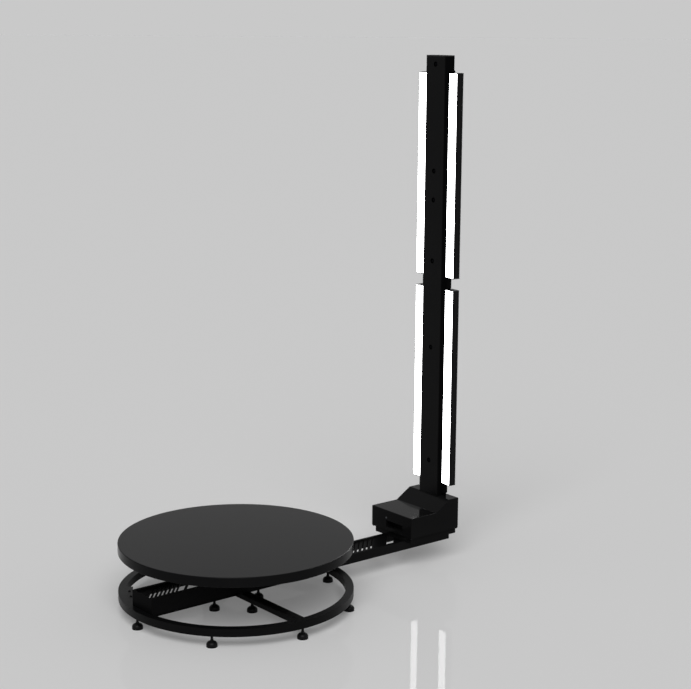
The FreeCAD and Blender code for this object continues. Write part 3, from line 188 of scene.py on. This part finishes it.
def brushed(name, colour, rough, axis_scale):
    """Turned or ground metal: fine lines one way."""
    material, tree, shader = new_material(name)
    place = add(tree, "ShaderNodeTexCoord")
    stretch = add(tree, "ShaderNodeMapping")
    stretch.inputs["Scale"].default_value = axis_scale
    lines = add(tree, "ShaderNodeTexNoise", in_Scale=60.0, in_Detail=4.0)
    tree.links.new(place.outputs["Object"], stretch.inputs["Vector"])
    tree.links.new(stretch.outputs["Vector"], lines.inputs["Vector"])
    darker = tuple(c * 0.8 for c in colour)
    tree.links.new(tint(tree, lines.outputs["Fac"], darker, colour), shader.inputs["Base Color"])
    tree.links.new(spread(tree, lines.outputs["Fac"], rough * 0.8, rough * 1.25), shader.inputs["Roughness"])
    shader.inputs["Metallic"].default_value = 1.0
    finish_surface(tree, shader, lines.outputs["Fac"], strength=0.15, soften=0.0005)
    return material


def glowing(name, colour, strength):
    """An opal diffuser lit from behind by rows of small lamps."""
    material, tree, shader = new_material(name)
    cells = noise(tree, 22.0, 2.0)
    shader.inputs["Base Color"].default_value = (0.9, 0.9, 0.9, 1.0)
    shader.inputs["Roughness"].default_value = 0.35
    shader.inputs["Emission Strength"].default_value = strength
    darker = tuple(c * 0.97 for c in colour)
    tree.links.new(tint(tree, cells.outputs["Fac"], darker, colour), shader.inputs["Emission Color"])
    return material


BLACK = (0.0035, 0.0035, 0.0037)
DECK_BLACK = (0.0045, 0.0045, 0.0048)
LOOKS = {
    "deck_black": painted("deck_paint", DECK_BLACK, rough=0.2, grain=1400.0, strength=0.06, specular=0.055,
                          soften=0.0003),
    "frame_black": painted("frame_paint", BLACK, rough=0.35, grain=1100.0, strength=0.12, specular=0.06),
    "cover_black": painted("cover_paint", (0.0062, 0.0062, 0.0064), rough=0.1, grain=1300.0, strength=0.04,
                           specular=0.036, soften=0.0003),
    # Painted shade: the mast's sides, which look along Y, have no gloss, so they stay darker than its front
    "mast_black": painted("mast_paint_shaded_sides", BLACK, rough=0.3, grain=1200.0, specular=0.06, side_specular=0.0),
    # Painted shade: the beams' tops have almost no gloss, so they read darker than their sides
    "beam_black": painted("beam_paint_shaded_tops", BLACK, rough=0.35, grain=1100.0, strength=0.12, specular=0.01,
                          side_specular=0.06),
    "block_black": painted("block_paint", BLACK, rough=0.5, strength=0.2, specular=0.02),
    "cast_black": painted("casting_paint", (0.02, 0.02, 0.021), rough=0.5, grain=500.0, strength=0.35),
    "bearing_steel": brushed("ground_steel", (0.55, 0.55, 0.57), 0.3, (1.0, 1.0, 40.0)),
    "ball_chrome": brushed("polished_steel", (0.75, 0.75, 0.77), 0.12, (8.0, 8.0, 8.0)),
    "zinc": brushed("zinc_plate", (0.55, 0.56, 0.58), 0.35, (4.0, 4.0, 30.0)),
    "bolt_black": painted("bolt_oxide", (0.02, 0.02, 0.022), rough=0.35, grain=1800.0, strength=0.15,
                          metal=0.6),
    "wheel_rubber": painted("wheel_tread", (0.02, 0.02, 0.02), rough=0.75, grain=700.0, strength=0.4,
                            specular=0.3),
    "motor_grey": painted("motor_paint", (0.12, 0.125, 0.13), rough=0.45, strength=0.2),
    "unit_black": painted("unit_paint", (0.03, 0.03, 0.032), rough=0.5, strength=0.2),
    "black_plastic": painted("moulded_plastic", (0.005, 0.005, 0.005), rough=0.45, grain=1500.0,
                             strength=0.3, specular=0.2),
    "camera_black": painted("camera_plastic", (0.0005, 0.0005, 0.0005), rough=0.7, grain=1500.0,
                            strength=0.2, specular=0.0),
    "foot_black": painted("foot_plastic", DECK_BLACK, rough=0.32, grain=1500.0, strength=0.25),
    "lamp_black": painted("anodised_black", (0.005, 0.005, 0.0053), rough=0.35, grain=1600.0,
                          strength=0.15),
    "lamp_diffuser": glowing("opal_diffuser", (1.0, 1.0, 1.0), 8.0),
    "light_lens": painted("status_lens", (0.07, 0.075, 0.08), rough=0.35, grain=600.0),
}

# Nodes whose look isn't the one that their slot names; the beams' own look carries painted shade on their
# tops
OWN_LOOKS = {"table_beam": "beam_black", "arm_beam": "beam_black"}


def dress_nodes():
    for node, shape in frame["nodes"].items():
        look = LOOKS[OWN_LOOKS.get(node, SLOTS[node])]
        if not shape.material_slots:
            shape.data.materials.append(look)
        for slot in shape.material_slots:
            slot.material = look


dress_nodes()


# Shapes

SHARP_ANGLE = math.radians(35.0)


def revolve(shape, profile, sides, place):
    """Turns a profile of (reach, out) points; place puts a local point (across, up, out) in the model."""
    rings = []
    for reach, out in profile:
        if reach == 0.0:
            rings.append([shape.verts.new(place(0.0, 0.0, out))])
            continue
        ring = []
        for step in range(sides):
            angle = 2.0 * math.pi * step / sides
            ring.append(shape.verts.new(place(reach * math.cos(angle), reach * math.sin(angle), out)))
        rings.append(ring)
    for first, second in zip(rings, rings[1:]):
        for step in range(sides):
            after = (step + 1) % sides
            if len(first) == 1:
                shape.faces.new((first[0], second[step], second[after]))
            elif len(second) == 1:
                shape.faces.new((first[step], second[0], first[after]))
            else:
                shape.faces.new((first[step], second[step], second[after], first[after]))


def prism(shape, outline, low, high, place):
    """A closed outline of (a, b) points drawn out from low to high; place takes (a, b, height)."""
    bottom = [shape.verts.new(place(a, b, low)) for a, b in outline]
    top = [shape.verts.new(place(a, b, high)) for a, b in outline]
    shape.faces.new(bottom)
    shape.faces.new(top)
    for step in range(len(outline)):
        after = (step + 1) % len(outline)
        shape.faces.new((bottom[step], bottom[after], top[after], top[step]))


def soften_edges(shape, width):
    """Rounds every edge where two faces meet at more than the sharp angle."""
    sharp = [edge for edge in shape.edges if edge.is_manifold and edge.calc_face_angle() > SHARP_ANGLE]
    bmesh.ops.bevel(shape, geom=sharp, offset=width, segments=2, affect="EDGES", clamp_overlap=True)


def button_screw(shape, radius, rise, place):
    """A round screw head with its socket."""
    socket = 0.42 * radius
    profile = [(0.0, 0.3 * rise), (socket, 0.3 * rise), (socket * 1.06, rise), (0.72 * radius, rise),
               (0.92 * radius, 0.62 * rise), (radius, 0.0), (0.0, -0.0005)]
    revolve(shape, profile, 18, place)


def finish_piece(shape, name, material, body, smooth=False):
    bmesh.ops.recalc_face_normals(shape, faces=shape.faces)
    mesh = bpy.data.meshes.new(name)
    shape.to_mesh(mesh)
    shape.free()
    for face in mesh.polygons:
        face.use_smooth = smooth
    mesh.materials.append(material)
    piece = bpy.data.objects.new(name, mesh)
    scene.collection.objects.link(piece)
    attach(piece, body)
    return piece


# Lens glass in the camera holes

MAST_FACE = 0.982
LENS_SET = 0.0026
LENS_HEIGHTS = (0.410, 0.891, 1.249, 1.498, 1.615, 2.040)
LENS_RADIUS = 0.005
LENS_RISE = 0.0011
# Reach in lens radii and height out of the rim in metres: the dome, then the ring that holds it
LENS_PROFILE = [(0.0, LENS_RISE), (0.2, 0.96 * LENS_RISE), (0.4, 0.84 * LENS_RISE), (0.6, 0.64 * LENS_RISE),
                (0.8, 0.36 * LENS_RISE), (1.0, 0.0), (1.08, 0.0003), (1.16, -0.0002), (1.16, -0.0009),
                (0.0, -0.0009)]


def lens_glass_material():
    material, tree, shader = new_material("coated_glass")
    smears = noise(tree, 120.0, 3.0)
    coating = tint(tree, smears.outputs["Fac"], (0.001, 0.0012, 0.002), (0.0016, 0.0014, 0.0024))
    tree.links.new(coating, shader.inputs["Base Color"])
    tree.links.new(spread(tree, smears.outputs["Fac"], 0.03, 0.08), shader.inputs["Roughness"])
    shader.inputs["Specular IOR Level"].default_value = 0.02
    return material


def add_lens(name, height, material):
    """A domed front element with the bevelled ring that holds it."""
    face = AXIS_X + MAST_FACE + LENS_SET
    shape = bmesh.new()
    revolve(shape, [(reach * LENS_RADIUS, out) for reach, out in LENS_PROFILE], 40,
            lambda across, up, out: (face - out, across, height + up))
    lens = finish_piece(shape, name, material, "frame", smooth=True)


glass = lens_glass_material()
for number, lens_height in enumerate(LENS_HEIGHTS, start=1):
    add_lens("lens_glass_%d" % number, lens_height, glass)


# Blocks that carry the lamps, in metres

SIDES = {"left": 1.0, "right": -1.0}
MAST_SIDE = 0.0567
PIVOT_X = AXIS_X + 1.0128
PIVOT_Y = 0.0758
PIN_RADIUS = 0.003
PIN_EDGE = 0.0005
BLOCK_FRONT = AXIS_X + 1.0028
BLOCK_BACK = AXIS_X + 1.0170
BLOCK_MIDDLE = 0.5 * (BLOCK_FRONT + BLOCK_BACK)
BLOCK_REACH = 0.0792
BLOCK_CORNER = 0.0035
BLOCK_EDGE = 0.0006
BLOCK_SCREW_RADIUS = 0.0035
BLOCK_SCREW_RISE = 0.0015
BLOCK_SCREW_IN = 0.011
# A block lower than this has no screws
SCREWED_BLOCK = 0.03
# Lowest and highest point of each block, then of the pin through it
BLOCKS = ((0.279, 0.318, 0.290, 0.331), (1.1400, 1.1840, 1.127, 1.197), (2.0085, 2.0170, 1.993, 2.0165))


def block_outline(low, high):
    corner = BLOCK_CORNER
    return [(MAST_SIDE, low), (BLOCK_REACH - corner, low), (BLOCK_REACH, low + corner),
            (BLOCK_REACH, high - corner), (BLOCK_REACH - corner, high), (MAST_SIDE, high)]


def pin_profile(low, high):
    return [(0.0, low), (PIN_RADIUS - PIN_EDGE, low), (PIN_RADIUS, low + PIN_EDGE),
            (PIN_RADIUS, high - PIN_EDGE), (PIN_RADIUS - PIN_EDGE, high), (0.0, high)]


def add_blocks():
    """The solid blocks on the mast's sides, with the pins on which the lamps turn."""
    shape = bmesh.new()
    for side in SIDES.values():
        for low, high, _, _ in BLOCKS:
            prism(shape, block_outline(low, high), BLOCK_FRONT, BLOCK_BACK, lambda y, z, x: (x, side * y, z))
    soften_edges(shape, BLOCK_EDGE)
    for side in SIDES.values():
        for low, high, pin_low, pin_high in BLOCKS:
            revolve(shape, pin_profile(pin_low, pin_high), 20,
                    lambda a, b, out: (PIVOT_X + a, side * PIVOT_Y + b, out))
            if high - low > SCREWED_BLOCK:
                for height in (low + BLOCK_SCREW_IN, high - BLOCK_SCREW_IN):
                    button_screw(shape, BLOCK_SCREW_RADIUS, BLOCK_SCREW_RISE,
                                 lambda a, b, out: (BLOCK_MIDDLE + a, side * (BLOCK_REACH + out), height + b))
    blocks = finish_piece(shape, "lamp_blocks", LOOKS["block_black"], "frame")
    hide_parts("lamp_brackets")


# Lamps. Their sections are in millimetres: depth from the pivot, front negative, then width outwards

LAMP_SHELL = [(-12.5, -14.0), (-12.5, -12.8), (-9.6, -12.8), (-9.6, 36.8), (-12.5, 36.8), (-12.5, 38.0),
              (-4.0, 38.0), (-4.0, 36.9), (-1.5, 36.9), (-1.5, 38.0), (8.0, 38.0), (8.0, 36.9), (10.5, 36.9),
              (10.5, 38.0), (17.0, 38.0), (19.2, 37.2), (20.5, 35.0), (20.5, 25.0), (18.9, 25.0),
              (18.9, 22.0), (20.5, 22.0), (20.5, 2.0), (18.9, 2.0), (18.9, -1.0), (20.5, -1.0), (20.5, -8.0),
              (19.6, -10.8), (17.6, -12.9), (15.0, -14.0), (8.0, -14.0), (8.0, -12.9), (5.5, -12.9),
              (5.5, -14.0)]
LAMP_CAP = [(-12.8, -14.3), (-12.8, 38.3), (17.4, 38.3), (19.6, 37.4), (20.8, 35.2), (20.8, -8.2),
            (19.8, -11.0), (17.8, -13.2), (15.2, -14.3)]
LAMP_FACE = [(-12.5, -12.6), (-12.8, -2.0), (-12.9, 12.0), (-12.8, 26.0), (-12.5, 36.6), (-9.9, 36.6),
             (-9.9, -12.6)]
CAP_SCREWS = ((14.0, 30.0), (-4.0, 30.0))
MM = 1000.0

# In metres
CAP_THICK = 0.003
CAP_EDGE = 0.0005
SHELL_EDGE = 0.0003
CAP_SCREW_RADIUS = 0.0022
CAP_SCREW_RISE = 0.0008
LAMP_SPANS = {"lower": (0.320, 1.138), "upper": (1.186, 2.007)}
LAMP_TURN = math.radians(6.5)


def lamp_place(side):
    """Puts a lamp's own millimetres at its pivot, turned in towards the deck."""
    turn = side * LAMP_TURN

    def place(depth, width, height):
        along = depth / MM
        out = side * width / MM
        return (PIVOT_X + along * math.cos(turn) - out * math.sin(turn),
                side * PIVOT_Y + along * math.sin(turn) + out * math.cos(turn), height)

    return place


def add_lamp(level, side_name):
    low, high = LAMP_SPANS[level]
    body = "lamp_%s_%s" % (level, side_name)
    place = lamp_place(SIDES[side_name])
    shell = bmesh.new()
    prism(shell, LAMP_SHELL, low + CAP_THICK, high - CAP_THICK, place)
    soften_edges(shell, SHELL_EDGE)
    caps = bmesh.new()
    prism(caps, LAMP_CAP, low, low + CAP_THICK, place)
    prism(caps, LAMP_CAP, high - CAP_THICK, high, place)
    soften_edges(caps, CAP_EDGE)
    for depth, width in CAP_SCREWS:
        for height, way in ((low, -1.0), (high, 1.0)):
            button_screw(caps, CAP_SCREW_RADIUS, CAP_SCREW_RISE,
                         lambda a, b, out: place(depth + MM * a, width + MM * b, height + way * out))
    face = bmesh.new()
    prism(face, LAMP_FACE, low + CAP_THICK, high - CAP_THICK, place)
    for part, shape in (("profile", shell), ("caps", caps), ("diffuser", face)):
        node = "%s_%s" % (body, part)
        piece = finish_piece(shape, "%s_%s_detail" % (body, part), LOOKS[SLOTS[node]], body)
        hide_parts(node)
        if part == "diffuser":
            piece.visible_diffuse = False


# Gusset: radii from the turntable's axis and heights in metres, angles from the arm's line

GUSSET_INNER = 0.396
GUSSET_OUTER = 0.4208
GUSSET_LOW = 0.0675
GUSSET_HIGH = 0.0725
GUSSET_EDGE = 0.0008
GUSSET_END = math.radians(37.0)
GUSSET_STEPS = 14
BEAM_SIDE = 0.0662
BOLT_ANGLES = (14.0, 22.0, 30.0)
BOLT_RADIUS = 0.0055
BOLT_RISE = 0.003


def gusset_arc(radius):
    """Points along the gusset from the beam's side to its end."""
    start = math.asin(BEAM_SIDE / radius)
    angles = [start + (GUSSET_END - start) * step / GUSSET_STEPS for step in range(GUSSET_STEPS + 1)]
    return [(AXIS_X - radius * math.cos(angle), radius * math.sin(angle)) for angle in angles]


def add_gusset():
    """The curved plate between the ring and the near beam's end, with its three bolts."""
    outline = gusset_arc(GUSSET_OUTER) + gusset_arc(GUSSET_INNER)[::-1]
    shape = bmesh.new()
    prism(shape, outline, GUSSET_LOW, GUSSET_HIGH, lambda x, y, z: (x, y, z))
    soften_edges(shape, GUSSET_EDGE)
    middle = 0.5 * (GUSSET_INNER + GUSSET_OUTER)
    for angle in BOLT_ANGLES:
        x = AXIS_X - middle * math.cos(math.radians(angle))
        y = middle * math.sin(math.radians(angle))
        button_screw(shape, BOLT_RADIUS, BOLT_RISE, lambda a, b, out: (x + a, y + b, GUSSET_HIGH + out))
    gusset = finish_piece(shape, "ring_gusset", LOOKS["frame_black"], "frame")


add_blocks()
for lamp_level in LAMP_SPANS:
    for lamp_side in SIDES:
        add_lamp(lamp_level, lamp_side)
add_gusset()


# Floor, world and light

BACKDROP = 0.584
SKY = 0.27
FLOOR_GREY = 0.64
FLOOR_GLOSS = 0.029
FLOOR_ROUGH = 0.03
FLOOR_REACH = 1500.0
# What the floor adds for the camera and for gloss
FLOOR_SEEN = 0.132
SUN_WAY = (0.57, 0.70, -1.0)
SUN_ANGLE = math.radians(48.0)
SUN_POWER = 1.72


def seen_by_eye(tree):
    """One for rays from the camera and for rays mirrored by gloss, nought for the rays that light things."""
    path = add(tree, "ShaderNodeLightPath")
    either = add(tree, "ShaderNodeMath", operation="MAXIMUM")
    tree.links.new(path.outputs["Is Camera Ray"], either.inputs[0])
    tree.links.new(path.outputs["Is Glossy Ray"], either.inputs[1])
    return either.outputs["Value"]


def add_floor():
    mesh = bpy.data.meshes.new("floor")
    far = FLOOR_REACH
    mesh.from_pydata([(-far, -far, 0), (far, -far, 0), (far, far, 0), (-far, far, 0)], [], [(0, 1, 2, 3)])
    floor = bpy.data.objects.new("floor", mesh)
    scene.collection.objects.link(floor)
    material = bpy.data.materials.new("studio_floor")
    material.use_nodes = True
    tree = material.node_tree
    tree.nodes.remove(tree.nodes["Principled BSDF"])
    matte = add(tree, "ShaderNodeBsdfDiffuse")
    matte.inputs["Color"].default_value = (FLOOR_GREY, FLOOR_GREY, FLOOR_GREY, 1.0)
    gloss = add(tree, "ShaderNodeBsdfGlossy")
    gloss.inputs["Color"].default_value = (FLOOR_GLOSS, FLOOR_GLOSS, FLOOR_GLOSS, 1.0)
    gloss.inputs["Roughness"].default_value = FLOOR_ROUGH
    both = add(tree, "ShaderNodeAddShader")
    tree.links.new(matte.outputs["BSDF"], both.inputs[0])
    tree.links.new(gloss.outputs["BSDF"], both.inputs[1])
    pale = add(tree, "ShaderNodeEmission")
    pale.inputs["Color"].default_value = (1.0, 1.0, 1.0, 1.0)
    level = add(tree, "ShaderNodeMath", operation="MULTIPLY")
    level.inputs[1].default_value = FLOOR_SEEN
    tree.links.new(seen_by_eye(tree), level.inputs[0])
    tree.links.new(level.outputs["Value"], pale.inputs["Strength"])
    whole = add(tree, "ShaderNodeAddShader")
    tree.links.new(both.outputs["Shader"], whole.inputs[0])
    tree.links.new(pale.outputs["Emission"], whole.inputs[1])
    tree.links.new(whole.outputs["Shader"], tree.nodes["Material Output"].inputs["Surface"])
    mesh.materials.append(material)


def add_world():
    """An even sky: one level for the light, and the backdrop's own grey for the camera and for gloss."""
    world = bpy.data.worlds.new("studio")
    scene.world = world
    world.use_nodes = True
    tree = world.node_tree
    light = tree.nodes["Background"]
    light.inputs["Color"].default_value = (1.0, 1.0, 1.0, 1.0)
    light.inputs["Strength"].default_value = SKY
    seen = add(tree, "ShaderNodeBackground")
    seen.inputs["Color"].default_value = (BACKDROP, BACKDROP, BACKDROP, 1.0)
    seen.inputs["Strength"].default_value = 1.0
    mix = add(tree, "ShaderNodeMixShader")
    tree.links.new(seen_by_eye(tree), mix.inputs["Fac"])
    tree.links.new(light.outputs["Background"], mix.inputs[1])
    tree.links.new(seen.outputs["Background"], mix.inputs[2])
    tree.links.new(mix.outputs["Shader"], tree.nodes["World Output"].inputs["Surface"])


def add_sun():
    data = bpy.data.lights.new("key", "SUN")
    data.angle = SUN_ANGLE
    data.energy = SUN_POWER
    sun = bpy.data.objects.new("key", data)
    scene.collection.objects.link(sun)
    sun.matrix_world = Vector(SUN_WAY).to_track_quat("-Z", "Y").to_matrix().to_4x4()


add_floor()
add_world()
add_sun()
